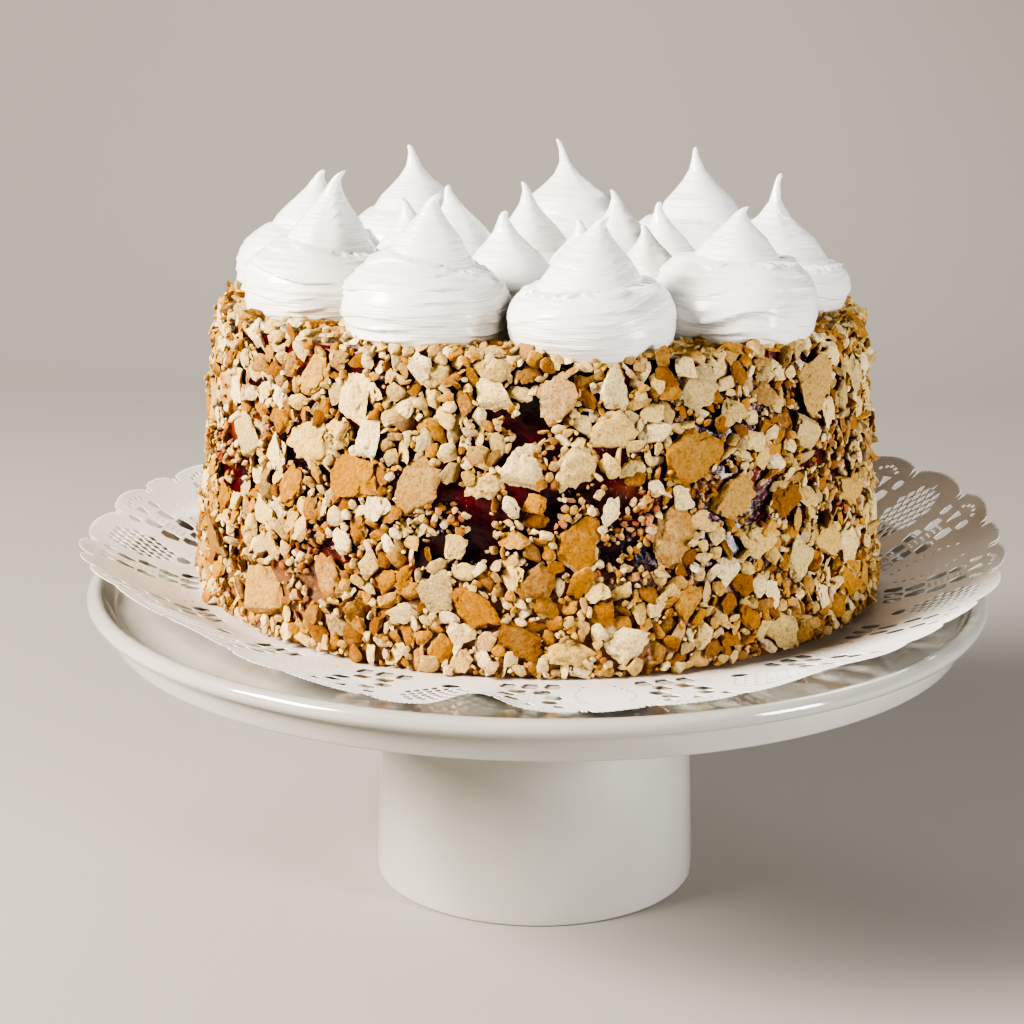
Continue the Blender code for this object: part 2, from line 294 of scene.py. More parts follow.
def porcelainGlaze():  # glazed porcelain: white body painted greyish as painted shade, under a clear, nearly flat gloss
    material, tree, shader, coords = startMaterial(
        "glazed porcelain", Roughness=0.12, IOR=1.52, Coat_Weight=0.6, Coat_Roughness=0.04)
    cloud = addNode(tree, "ShaderNodeTexNoise", {"Vector": coords, "Scale": 18.0, "Detail": 3.0})
    # painted shade: the body is drawn grey rather than white, standing in for shade and dark surroundings
    # in its reflections; the noise between the two greys is random tone
    colour = addNode(tree, "ShaderNodeValToRGB", {"Fac": cloud.outputs["Fac"]}, [
        (0.3, "#B7B4AB"), (0.7, "#C0BDB5")])
    tree.links.new(colour.outputs["Color"], shader.inputs["Base Color"])
    swell = addNode(tree, "ShaderNodeTexNoise", {"Vector": coords, "Scale": 45.0, "Detail": 2.0})
    bump = addNode(tree, "ShaderNodeBump", {
        "Height": swell.outputs["Fac"], "Strength": 0.06, "Distance": 0.3 * mm})
    tree.links.new(bump.outputs["Normal"], shader.inputs["Normal"])
    return material


makeStand()
print("stand ready")


def addTurned(name, segments, rings, shape):  # a closed ball whose rings are laid along a shape
    deselectAll()
    bpy.ops.mesh.primitive_uv_sphere_add(segments=segments, ring_count=rings, radius=1)
    piece = bpy.context.object
    points = np.empty(len(piece.data.vertices) * 3)
    piece.data.vertices.foreach_get("co", points)
    points = points.reshape(-1, 3)
    level = 0.5 + np.arcsin(np.clip(points[:, 2], -1, 1)) / math.pi
    turn = np.arctan2(points[:, 1], points[:, 0])
    piece.data.vertices.foreach_set("co", shape(level, turn).ravel() * mm)
    piece.data.update()
    bpy.ops.object.shade_smooth()
    piece.name = name
    return piece


def waves(rng, turn, height, count, most, steep):  # smooth random field round a turned piece
    total = np.zeros_like(turn)
    for _ in range(count):
        around = rng.randint(1, most) * turn + rng.uniform(-steep, steep) * height
        total += np.sin(around + rng.uniform(0, 6.3))
    return total / math.sqrt(count)


def ease(x):
    x = np.clip(x, 0, 1)
    return x * x * (3 - 2 * x)


# Piped meringue kisses: a bulb, a crease where the nozzle lifted, a cone and a curled tip
kisses = {
    "names": ["kiss_%02d" % (i + 1) for i in range(17)],
    # degrees from the front, distance from the cake's axis, widest radius, height,
    # lean of the tip in x and y (mm)
    "places": (
        (-26, 87, 27.5, 49, 2, -1), (9, 90, 27.0, 43.5, 3, -1), (45, 88, 27.5, 44.5, 1, 0),
        (86, 80, 28.0, 50, 2, 1), (136, 87, 28.5, 54, -4, 0), (173, 87, 28.5, 55, -6, 0),
        (-145, 87, 28.5, 53, -3, 1), (-99, 86, 28.0, 48, 3, 0), (-62, 85, 27.5, 52.5, 5, 0),
        (-134, 44, 24, 41.5, -6, 0), (-80, 47, 24, 40.5, -4, 0), (-17, 42, 25, 39.5, -3, 1),
        (-172, 37, 23, 42.5, -3, 0), (59, 16, 23, 33.5, -2, 0), (137, 41, 24, 40.5, -3, 0),
        (44, 52, 23, 35, -3, 0), (87, 43, 21, 39.5, -4, 0)),
    # crease's share of the height and its tilt, degrees towards which it sinks, cone's share
    # of the radius, ledge, bell shape 0 to 1, curl of the tip (mm) and its degrees
    "shapes": (
        (0.57, 0.060, 0, 0.56, 0.07, 0.0, 2.2, 0), (0.50, 0.030, 200, 0.66, 0.16, 0.0, 2.4, -20),
        (0.61, 0.010, 0, 0.52, 0.24, 0.1, 2.6, -10), (0.40, 0.020, 0, 0.74, 0.08, 1.0, 0.8, 0),
        (0.50, 0.010, 0, 0.62, 0.12, 0.6, 0.6, 0), (0.48, 0.020, 180, 0.74, 0.06, 1.0, 0.6, 180),
        (0.52, 0.020, 0, 0.66, 0.08, 0.6, 0.8, 180), (0.56, 0.020, 0, 0.62, 0.08, 0.2, 1.4, -20),
        (0.52, 0.050, 0, 0.60, 0.08, 0.3, 2.2, 0), (0.45, 0.02, 90, 0.62, 0.06, 0.2, 1.2, 0),
        (0.42, 0.02, 10, 0.70, 0.05, 0.3, 1.2, 180), (0.42, 0.02, 40, 0.70, 0.05, 0.2, 1.6, 0),
        (0.40, 0.02, 80, 0.72, 0.05, 0.4, 1.0, 180), (0.42, 0.02, 50, 0.66, 0.05, 0.2, 0.8, 180),
        (0.42, 0.02, 20, 0.66, 0.05, 0.3, 1.0, 180), (0.42, 0.02, 0, 0.66, 0.05, 0.1, 0.6, 180),
        (0.42, 0.02, 0, 0.66, 0.05, 0.2, 1.4, 0)),
    "front": (0, 1, 2, 3, 8),
    "fine": (150, 150),  # segments and rings of the kisses along the front
    "plain": (96, 96),
    "clearance": 0.2,  # mm each side stays back from the plane between two that touch
    "softness": 1.0,  # mm over which such a flat is rounded
    "base": 0.04,  # share of the rings that close the foot
    "foldPitch": 8.5,  # mm
    "foldDepth": 1.7,
    "wispPitch": 3.8,
    "wispDepth": 1.15,
    "tornDepth": 1.7,
    "backFolds": 0.55,  # folds of the kisses behind, against those along the front
}
coneAt = (0, 0.12, 0.25, 0.39, 0.52, 0.68, 0.85, 1)
coneStraight = (1, 0.90, 0.79, 0.66, 0.49, 0.28, 0.125, 0.05)
coneBell = (1, 0.87, 0.73, 0.47, 0.25, 0.10, 0.055, 0.035)


def aroundCake(degrees, distance):  # mm from the cake's axis, degrees from the front to the right
    angle = math.radians(degrees)
    return np.array((distance * math.sin(angle), -distance * math.cos(angle)))


def kissShape(index):
    degrees, distance, radius, tall, leanX, leanY = kisses["places"][index]
    crease0, tilt, sinks, wide, ledge, bell, curl, curlTurn = kisses["shapes"][index]
    rng = random.Random(index * 17 + 5)
    centre = aroundCake(degrees, distance)
    lowest = crease0 - tilt

    def cone(h):
        u = np.clip((h - lowest) / (1 - lowest), 0, 1)
        straight, bells = np.interp(u, coneAt, coneStraight), np.interp(u, coneAt, coneBell)
        return wide * (straight * (1 - bell) + bells * bell)

    def shape(level, turn):
        base = kisses["base"]
        h = np.clip((level - base) / (1 - base), 0, 1)
        level0 = np.zeros_like(h)  # for waves that are the same at every height
        crease = crease0 - tilt * np.cos(turn - math.radians(sinks))
        crease = crease + 0.006 * waves(rng, turn, level0, 3, 5, 0)
        foot = 0.86 + 0.14 * np.sin(np.clip(h / 0.22, 0, 1) * math.pi / 2) ** 0.8
        shoulder = np.clip((h - 0.26) / (crease - 0.26), 0, 1)
        edge = cone(crease) + ledge * (0.75 + 0.25 * waves(rng, turn, level0, 3, 4, 0))
        bulb = foot * (1 - (1 - edge) * shoulder ** 2.3)
        onBulb = h < crease
        r = np.where(onBulb, bulb, cone(h)) * radius
        lobes = waves(rng, turn, h, 4, 4, 5) * 0.32
        dents = waves(rng, turn, h, 6, 9, 16) * 0.16
        # folds: layers that bulge over the one below, each along part of the way round
        phase = h * tall / kisses["foldPitch"] + turn / math.tau
        phase = phase + 0.22 * waves(rng, turn, level0, 3, 4, 0)
        layer = np.floor(phase)
        over = 1 - (phase - layer)
        around = np.array([rng.uniform(0, math.tau) for _ in range(14)])[(layer + 4).astype(int)]
        strong = np.array([rng.uniform(0.2, 1) for _ in range(14)])[(layer + 4).astype(int)]
        fold = kisses["foldDepth"] * strong * ease(0.5 + 0.9 * np.cos(turn - around)) * (over ** 1.5 - 0.3)
        sweep = h * tall / kisses["wispPitch"] - 2 * turn / math.tau
        sweep = sweep + 0.3 * waves(rng, turn, level0, 3, 4, 0)
        wisp = 1 - (sweep - np.floor(sweep))
        patch = ease(waves(rng, turn, h, 5, 4, 9) + 0.1)
        fold = fold + kisses["wispDepth"] * patch * (wisp ** 2 - 0.3)
        if index not in kisses["front"]:
            fold = fold * kisses["backFolds"]
        torn = np.exp(-((h - crease) / 0.022) ** 2) * ease(0.2 + np.cos(turn - math.radians(sinks)))
        torn = torn * waves(rng, turn, h, 8, 46, 160) * kisses["tornDepth"]
        lively = ease(h / 0.1) * ease((0.97 - h) / 0.3)
        r = r + (lobes + dents + fold * np.where(onBulb, 1, 0.35) + torn * onBulb) * lively
        r = np.where(h > 0.975, r * np.sqrt(np.clip(1 - ((h - 0.975) / 0.025) ** 2, 0, 1)), r)
        drift = np.stack((leanX * h ** 3, leanY * h ** 3), 1)
        direction = np.stack((np.cos(turn), np.sin(turn)), 1)
        for other, (d2, a2, r2, *rest) in enumerate(kisses["places"]):
            gap = aroundCake(d2, a2) - centre
            apart = math.hypot(*gap)
            if other == index or apart > radius + r2 + 2:
                continue
            normal = gap / apart
            plane = (apart ** 2 + radius ** 2 - r2 ** 2) / (2 * apart) - kisses["clearance"]
            facing = np.maximum(direction @ normal, 0.02)
            limit = (plane - drift @ normal) / facing
            soft = kisses["softness"]
            closest = np.minimum(r, limit)
            r = closest - soft * np.log(1 + np.exp(-np.abs(r - limit) / soft))
        r = np.where(level < base, np.maximum(r, 0) * level / base, np.maximum(r, 0.001))
        hook = np.clip((h - 0.90) / 0.10, 0, 1)
        curled = np.array((math.cos(math.radians(curlTurn)), math.sin(math.radians(curlTurn)))) * curl
        flat = centre + drift + direction * r[:, None] + curled * (hook ** 2)[:, None]
        z = h * tall - curl * 0.3 * hook ** 3
        return np.column_stack((flat, z))

    return shape


def meringueGloss():  # fresh Italian meringue: white, satin gloss, faint wiped lines round it
    material, tree, shader, coords = startMaterial(
        "glossy white meringue", Roughness=0.42, IOR=1.45, Coat_Weight=0.45, Coat_Roughness=0.17,
        Subsurface_Weight=0.06, Subsurface_Scale=2 * mm)
    shader.inputs["Base Color"].default_value = srgb("#F4F2EE")
    shader.inputs["Subsurface Radius"].default_value = (1.0, 0.9, 0.8)
    across = addNode(tree, "ShaderNodeMapping", {"Vector": coords, "Scale": (38.0, 38.0, 520.0)})
    lines = addNode(tree, "ShaderNodeTexNoise", {
        "Vector": across, "Scale": 1.0, "Detail": 3.0, "Roughness": 0.6})
    grain = addNode(tree, "ShaderNodeTexNoise", {"Vector": coords, "Scale": 700.0, "Detail": 2.0})
    first = addNode(tree, "ShaderNodeBump", {
        "Height": lines.outputs["Fac"], "Strength": 1.0, "Distance": 1.2 * mm})
    second = addNode(tree, "ShaderNodeBump", {
        "Height": grain.outputs["Fac"], "Strength": 0.35, "Distance": 0.12 * mm,
        "Normal": first.outputs["Normal"]})
    tree.links.new(second.outputs["Normal"], shader.inputs["Normal"])
    return material


def makeKisses():
    material = meringueGloss()
    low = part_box("kiss_01")[0].z - 1.3 * mm
    for index, name in enumerate(kisses["names"]):
        segments, rings = kisses["fine"] if index in kisses["front"] else kisses["plain"]
        piece = addTurned(name + "Look", segments, rings, kissShape(index))
        piece.location = (place["cakeX"], place["cakeY"], low)
        finishPiece(piece, name + "Look", material)
        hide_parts(name)


makeKisses()
print("kisses ready")


# Jam coat: the cake's body, wet berry jam over sponge and cream, cream on top
jam = {
    "slope": math.hypot(100, 10),  # length up the side (mm)
    "tall": 100.0,
    "bottomRadius": 121.5,
    "topRadius": 111.5,
    "sunk": 1.0,  # below the solid's side
    "segments": 300,
    "rings": 120,
}


def piled(turn):  # mm that the crumbs lie deeper than the solid's side; most on the left
    left = np.exp(-((np.degrees(np.arctan2(np.sin(turn + 1.5), np.cos(turn + 1.5))) / 55) ** 2))
    return 0.6 + 3.4 * left


def jamShape(level, turn):
    rng = random.Random(4)
    low, high = 0.10, 0.90
    side = np.clip((level - low) / (high - low), 0, 1)
    radius = jam["bottomRadius"] - jam["sunk"] + (jam["topRadius"] - jam["bottomRadius"]) * side
    lumps = waves(rng, turn, side, 14, 60, 60) * 0.45 + waves(rng, turn, side, 10, 18, 22) * 0.5
    lumps = lumps * ease(side / 0.04) * ease((1 - side) / 0.04)
    fromFront = np.arctan2(np.cos(turn), -np.sin(turn))
    radius = radius + np.clip(lumps, -1.2, 0.9) + piled(fromFront) * ease(side / 0.05)
    radius = np.where(level < low, (jam["bottomRadius"] - jam["sunk"]) * level / low, radius)
    radius = np.where(level > high, (jam["topRadius"] - jam["sunk"]) * (1 - level) / (1 - high), radius)
    z = side * (jam["tall"] - 0.1) + 0.05
    z = z - np.where(level > high, 0.35 + 0.12 * waves(rng, turn, np.zeros_like(level), 6, 9, 0), 0)
    return np.column_stack((radius * np.cos(turn), radius * np.sin(turn), z))


def wetJam():  # cooked berry jam smeared over sponge: dark and wet, red where it is thin
    material, tree, shader, coords = startMaterial(
        "wet berry jam", Roughness=0.24, IOR=1.42, Coat_Weight=0.35, Coat_Roughness=0.12)
    patch = addNode(tree, "ShaderNodeTexNoise", {"Vector": coords, "Scale": 38.0, "Detail": 4.0})
    red = addNode(tree, "ShaderNodeValToRGB", {"Fac": patch.outputs["Fac"]}, [
        (0.30, "#1E060C"), (0.48, "#380A11"), (0.60, "#640F17"), (0.74, "#43100F")])
    streak = addNode(tree, "ShaderNodeMapping", {
        "Vector": coords, "Location": (0.4, 0.1, 0.0), "Scale": (11.0, 11.0, 34.0)})
    layer = addNode(tree, "ShaderNodeTexNoise", {"Vector": streak, "Scale": 1.0, "Detail": 3.0})
    amber = addNode(tree, "ShaderNodeValToRGB", {"Fac": layer.outputs["Fac"]}, [
        (0.60, "#000000"), (0.66, "#FFFFFF")])
    mixed = addNode(tree, "ShaderNodeMix", {0: amber, 6: red, 7: srgb("#83390F")}, data_type="RGBA")
    split = addNode(tree, "ShaderNodeSeparateXYZ", {"Vector": coords})
    height = split.outputs["Z"]
    low = addNode(tree, "ShaderNodeMapRange", {
        "Value": height, "From Min": 0.119, "From Max": 0.142, "To Min": 0.80, "To Max": 0.0})
    sponge = addNode(tree, "ShaderNodeMix", {
        0: low, 6: mixed.outputs[2], 7: srgb("#A87C52")}, data_type="RGBA")
    top = addNode(tree, "ShaderNodeMapRange", {
        "Value": height, "From Min": 0.2052, "From Max": 0.2056, "To Min": 0.0, "To Max": 1.0})
    cream = addNode(tree, "ShaderNodeMix", {
        0: top, 6: sponge.outputs[2], 7: srgb("#EADFCB")}, data_type="RGBA")
    tree.links.new(cream.outputs[2], shader.inputs["Base Color"])
    lumps = addNode(tree, "ShaderNodeTexNoise", {"Vector": coords, "Scale": 360.0, "Detail": 4.0})
    bump = addNode(tree, "ShaderNodeBump", {
        "Height": lumps.outputs["Fac"], "Strength": 0.9, "Distance": 1.2 * mm})
    tree.links.new(bump.outputs["Normal"], shader.inputs["Normal"])
    return material


def makeJam():
    piece = addTurned("jamCoat", jam["segments"], jam["rings"], jamShape)
    piece.location = (place["cakeX"], place["cakeY"], place["cakeBottom"])
    finishPiece(piece, "jamCoat", wetJam())
    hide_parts("cake")


makeJam()
print("jam coat ready")


# Crumbs: broken meringue and biscuit, toasted on one side, scattered largest first
crumbs = {
    "seed": 11,
    "cell": 0.5,  # mm, grid that keeps track of what is covered
    "rim": 15.0,  # mm that the crumbs reach over the top edge
    "rimCrumbs": 175,
    "overEdge": 1.2,  # mm past the top edge, from where the kisses' feet keep crumbs out
    "kissFoot": 0.80,  # share of a kiss's radius that its foot covers
    "bareFrom": 1.0,  # level of a wavy field from which the side is thinly covered
    "gapFrom": 0.08,  # level of a finer one from which jam stays in sight there
    "most": 2440,  # crumbs of a kind
    "largeFrom": 12.5,  # mm, shorter chips go with the coarse crumbs
    "coarseFrom": 8.2,  # mm, shorter coarse crumbs go with the medium ones
}
# name, longest and shortest length (mm), width and thickness shares, most already covered,
# share of the side covered when the kind stops, usual lean, most tries
crumbKinds = (
    ("coarse", 10.5, 6.2, (0.50, 0.92), (0.26, 0.42), 0.36, 0.66, 0.28, 5200),
    ("medium", 6.4, 4.2, (0.50, 0.95), (0.34, 0.62), 0.42, 0.83, 0.38, 9000),
    ("fine", 4.2, 2.6, (0.50, 0.95), (0.45, 0.80), 0.52, 0.915, 0.6, 16000),
    ("grit", 2.6, 1.3, (0.65, 1.00), (0.60, 1.00), 0.60, 0.94, 1.0, 16000),
)
crumbShapes = {  # how many shapes, subdivisions of the ball each starts from, cuts, roughness
    "large": (40, 4, 5, 0.32),
    "coarse": (30, 3, 4, 0.38),
    "medium": (24, 2, 4, 0.34),
    "fine": (12, 2, 4, 0.36),
    "grit": (8, 1, 2, 0.2),
}
# The front's large chips: degrees, height, length, width (mm), turn, toasting 0 to 1
frontChips = (
    (24, 70, 23, 18, 15, 0.75), (20, 44, 21, 15, 80, 0.72), (-48, 16, 24, 19, -8, 0.0),
    (5, 66, 18, 13, 60, 0.05), (31, 54, 18, 13, 25, 0.0), (-3, 12, 19, 10, -35, 0.85),
    (-43, 53, 15, 11, 75, 0.85), (13, 10, 17, 14, 0, 0.02), (40, 8, 14, 13, 5, 0.03),
    (-1, 31, 13, 12, 0, 0.8), (4, 8, 18, 9, 12, 0.1), (42, 50, 14, 12, -20, 1.0),
    (52, 35, 17, 12, -30, 0.25), (-9, 60, 14, 9, 30, 0.1))
chips = {  # the other large chips, in mm
    "seed": 11,
    "count": 170,
    "bias": 1.5,  # most are nearer to the shortest
    "shortest": 9,
    "reach": 13,  # from the shortest to the longest
    "widths": (0.6, 0.9),
    "margin": 1.2,
    "overDoily": 6,  # higher at the back, where the paper is raised
    "spacing": 0.84,
    "tries": 80,
}


def chipPlaces():  # the same large chips that the cake's solid has
    rng = random.Random(chips["seed"])
    places = [chip[:5] for chip in frontChips]
    shares = sorted((rng.random() ** chips["bias"] for _ in range(chips["count"])), reverse=True)
    for share in shares:
        length = chips["shortest"] + chips["reach"] * share
        width = length * rng.uniform(*chips["widths"])
        margin = 0.55 * length + chips["margin"]
        for _ in range(chips["tries"]):
            degrees = rng.uniform(-180, 180)
            overDoily = chips["overDoily"] * (0.5 - 0.5 * math.cos(math.radians(degrees)))
            height = rng.uniform(margin + overDoily, jam["tall"] - margin)
            clear = True
            for d2, h2, l2, w2, _ in places:
                across = math.radians((degrees - d2 + 180) % 360 - 180) * jam["topRadius"]
                needed = chips["spacing"] * (length + width + l2 + w2) / 4
                if math.hypot(across, height - h2) < needed:
                    clear = False
                    break
            if clear:
                places.append((degrees, height, length, width, rng.uniform(-90, 90)))
                break
    return places


def crumbShape(rng, subdivisions, cuts, rough):  # points in a unit box, and faces
    deselectAll()
    bpy.ops.mesh.primitive_ico_sphere_add(subdivisions=subdivisions, radius=1)
    ball = bpy.context.object
    points = np.array([v.co for v in ball.data.vertices])
    faces = np.array([p.vertices for p in ball.data.polygons])
    bpy.data.objects.remove(ball, do_unlink=True)
    away = [Vector([rng.uniform(-50, 50) for _ in range(3)]) for _ in range(2)]
    for i, p in enumerate(points):
        swell = noise.noise(Vector(p) * 1.1 + away[0]) * 0.5
        swell += noise.noise(Vector(p) * 2.7 + away[1]) * rough
        points[i] = p * (1 + swell)
    for cut in range(cuts):
        flat = cut < cuts - 2
        tilt = rng.uniform(-0.35, 0.35) if flat else rng.choice((-1, 1)) * rng.uniform(1.2, 1.5)
        angle = rng.uniform(0, math.tau)
        level = math.cos(tilt)
        normal = np.array((math.cos(angle) * level, math.sin(angle) * level, math.sin(tilt)))
        depth = rng.uniform(0.52, 0.82)
        over = np.maximum(points @ normal - depth, 0)
        points = points - np.outer(over * rng.uniform(0.85, 1.0), normal)
    if subdivisions > 2:  # broken, porous skin
        for i, p in enumerate(points):
            fine = noise.noise(Vector(p) * 4.2 + away[1]) * 0.085
            fine += noise.noise(Vector(p) * 10 + away[0]) * 0.05
            points[i] = p * (1 + fine)
    low, high = points.min(0), points.max(0)
    points = (points - (low + high) / 2) / ((high - low) / 2)
    return points, faces


def sideFrame(turn, up):  # place on the cake's side or top edge with its axes, in mm
    slope = jam["slope"]
    outward = np.stack((np.sin(turn), -np.cos(turn), turn * 0), 1)
    aside = np.stack((np.cos(turn), np.sin(turn), turn * 0), 1)
    onSide = np.clip(up / slope, 0, 1)
    narrower = (jam["bottomRadius"] - jam["topRadius"]) * onSide
    radius = jam["bottomRadius"] - narrower - np.maximum(up - slope, 0)
    spot = outward * radius[:, None] + np.array((0, 0, 1)) * (jam["tall"] * onSide)[:, None]
    lie = ease((up - slope + 2.5) / 5)[:, None]
    normal = outward * (1 - lie) * 0.995 + np.array((0, 0, 1)) * (0.0995 * (1 - lie) + lie)
    normal = normal / np.linalg.norm(normal, axis=1)[:, None]
    return spot, normal, aside, np.cross(normal, aside)


class Cover:  # grid over the unrolled side: what is covered and what stays bare
    def __init__(self, rng):
        self.wide = math.tau * jam["bottomRadius"]
        self.tall = jam["slope"] + crumbs["rim"]
        self.shape = (int(self.tall / crumbs["cell"]), int(self.wide / crumbs["cell"]))
        self.full = np.zeros(self.shape, bool)
        up, across = np.meshgrid(*[np.arange(n) * crumbs["cell"] for n in self.shape], indexing="ij")
        self.turn = across / jam["bottomRadius"] - math.pi
        self.up = up
        lift = 0.2 + 3.5 * (0.5 - 0.5 * np.cos(self.turn))
        closed = up < lift
        spot, normal, aside, above = sideFrame(self.turn.ravel(), up.ravel())
        for degrees, distance, radius, *rest in kisses["places"]:
            x, y = aroundCake(degrees, distance)
            apart = np.hypot(spot[:, 0] - x, spot[:, 1] - y).reshape(self.shape)
            near = apart < crumbs["kissFoot"] * radius
            closed |= near & (up > jam["slope"] + crumbs["overEdge"])
        self.full |= closed
        self.closed = closed
        bare = waves(rng, self.turn, up, 9, 16, 0.16) + 0.55 * np.exp(-((up - 55) / 26) ** 2)
        front = np.exp(-(self.turn / 0.75) ** 2)
        bare = bare - 3 * ease((up - 88) / 8)
        bare = bare + 1.1 * front * np.exp(-((up - 54) / 25) ** 2)
        self.bare = bare > crumbs["bareFrom"]
        self.gap = self.bare & (waves(rng, self.turn, up, 18, 105, 0.9) > crumbs["gapFrom"])
        self.open = (~closed & ~self.gap).sum()

    def share(self):
        return (self.full & ~self.closed & ~self.gap).sum() / self.open

    def footprint(self, turn, up, length, width, spin):
        reach = int(max(length, width) / 2 / crumbs["cell"]) + 1
        row = int(up / crumbs["cell"])
        column = int((turn + math.pi) * jam["bottomRadius"] / crumbs["cell"])
        rows = np.arange(row - reach, row + reach + 1)
        columns = np.arange(column - reach, column + reach + 1)
        away = [(rows - row) * crumbs["cell"], (columns - column) * crumbs["cell"]]
        y, x = np.meshgrid(*away, indexing="ij")
        along = (x * math.cos(spin) + y * math.sin(spin)) / (length / 2)
        over = (-x * math.sin(spin) + y * math.cos(spin)) / (width / 2)
        inside = along ** 2 + over ** 2 < 1
        rows = np.clip(rows, 0, self.shape[0] - 1)
        return np.ix_(rows, columns % self.shape[1]), inside


def scatterCrumbs():
    rng = random.Random(crumbs["seed"])
    cover = Cover(rng)
    sets = {}
    large = []
    for number, (degrees, height, length, width, turn) in enumerate(chipPlaces()):
        up = height * jam["slope"] / jam["tall"]
        angle = math.radians(degrees)
        area, inside = cover.footprint(angle, up, length * 0.94, width * 0.94, math.radians(turn))
        cover.full[area] |= inside
        if number < len(frontChips):
            toast = frontChips[number][5]
        else:
            toast = rng.choice((0, 0, 0.1, 0.6, 0.8, 1))
        thick = rng.uniform(0.20, 0.28) * length
        large.append((angle, up, length, width, thick, math.radians(turn), rng.gauss(0, 0.10),
                      rng.gauss(0, 0.10), 1.9 - thick * 0.32, toast, rng.random(), 0.0))
    sets["large"] = [chip for chip in large if chip[2] > crumbs["largeFrom"]]
    for name, longest, shortest, widths, thicks, most, target, usualLean, tries in crumbKinds:
        chosen = []
        bigger = name in ("coarse", "medium")
        for attempt in range(tries):
            if attempt % 400 == 0:
                if cover.share() > target or len(chosen) > crumbs["most"]:
                    break
                cells = np.argwhere(~cover.full & ~(cover.bare if bigger else cover.gap))
            row, column = cells[rng.randrange(len(cells))]
            turn, up = cover.turn[row, column], cover.up[row, column]
            if cover.bare[row, column] and rng.random() < (0.35 if name == "fine" else 0.5):
                continue
            right = ease(np.array((math.sin(turn - 0.15) - 0.25) / 0.6)).item()  # finer crumbs there
            if name == "coarse" and rng.random() < 0.55 * right:
                continue
            length = shortest + (longest - shortest) * rng.random() ** 1.4
            width = length * rng.uniform(*widths)
            thick = width * rng.uniform(*thicks)
            spin = rng.uniform(0, math.pi)
            area, inside = cover.footprint(turn, up, length, width, spin)
            overlap = (cover.full[area] & inside).sum() / inside.sum()
            if overlap > most or (cover.closed[area] & inside).sum() / inside.sum() > 0.12:
                continue
            cover.full[area] |= inside
            lean = usualLean
            if bigger and rng.random() < 0.16 + 0.30 * right:
                lean = 0.9
            toast = rng.choice((0, 0, 0, 0.1, 0.2, 0.5, 0.8, 0.9, 1))
            stain = rng.random() ** 4 * (0.85 if cover.bare[row, column] else 0.12)
            proud = thick * rng.uniform(0.05, 0.45) + overlap * 3.0 - 0.4
            chosen.append((turn, up, length, width, thick, spin, rng.gauss(0, lean), rng.gauss(0, lean),
                           proud, toast, rng.random(), stain))
        sets[name] = chosen
        print(name, len(chosen), "covered %.3f" % cover.share())
    count = crumbs["rimCrumbs"]
    for i in range(count):  # one more row hides the coat's top edge
        length = rng.uniform(3.8, 6.4)
        width = length * rng.uniform(0.6, 0.95)
        turn = (i + rng.random()) / count * math.tau - math.pi
        up = jam["slope"] + rng.uniform(-1.4, 0.8)
        thick = width * rng.uniform(0.4, 0.7)
        sets["medium"].append((
            turn, up, length, width, thick, rng.uniform(0, math.pi), rng.gauss(0, 0.4),
            rng.gauss(0, 0.4), rng.uniform(-0.3, 0.5), rng.choice((0, 0, 0.1, 0.5, 0.9)),
            rng.random(), 0.0))
    coarse = sets["coarse"]
    sets["coarse"] = [chip for chip in large if chip[2] <= crumbs["largeFrom"]]
    sets["coarse"] += [crumb for crumb in coarse if crumb[2] >= crumbs["coarseFrom"]]
    sets["medium"] += [crumb for crumb in coarse if crumb[2] < crumbs["coarseFrom"]]
    print("bare share %.3f" % cover.bare.mean())
    return sets


def leaned(a, b, amount):  # two axes turned towards each other
    c, s = np.cos(amount)[:, None], np.sin(amount)[:, None]
    return a * c + b * s, b * c - a * s


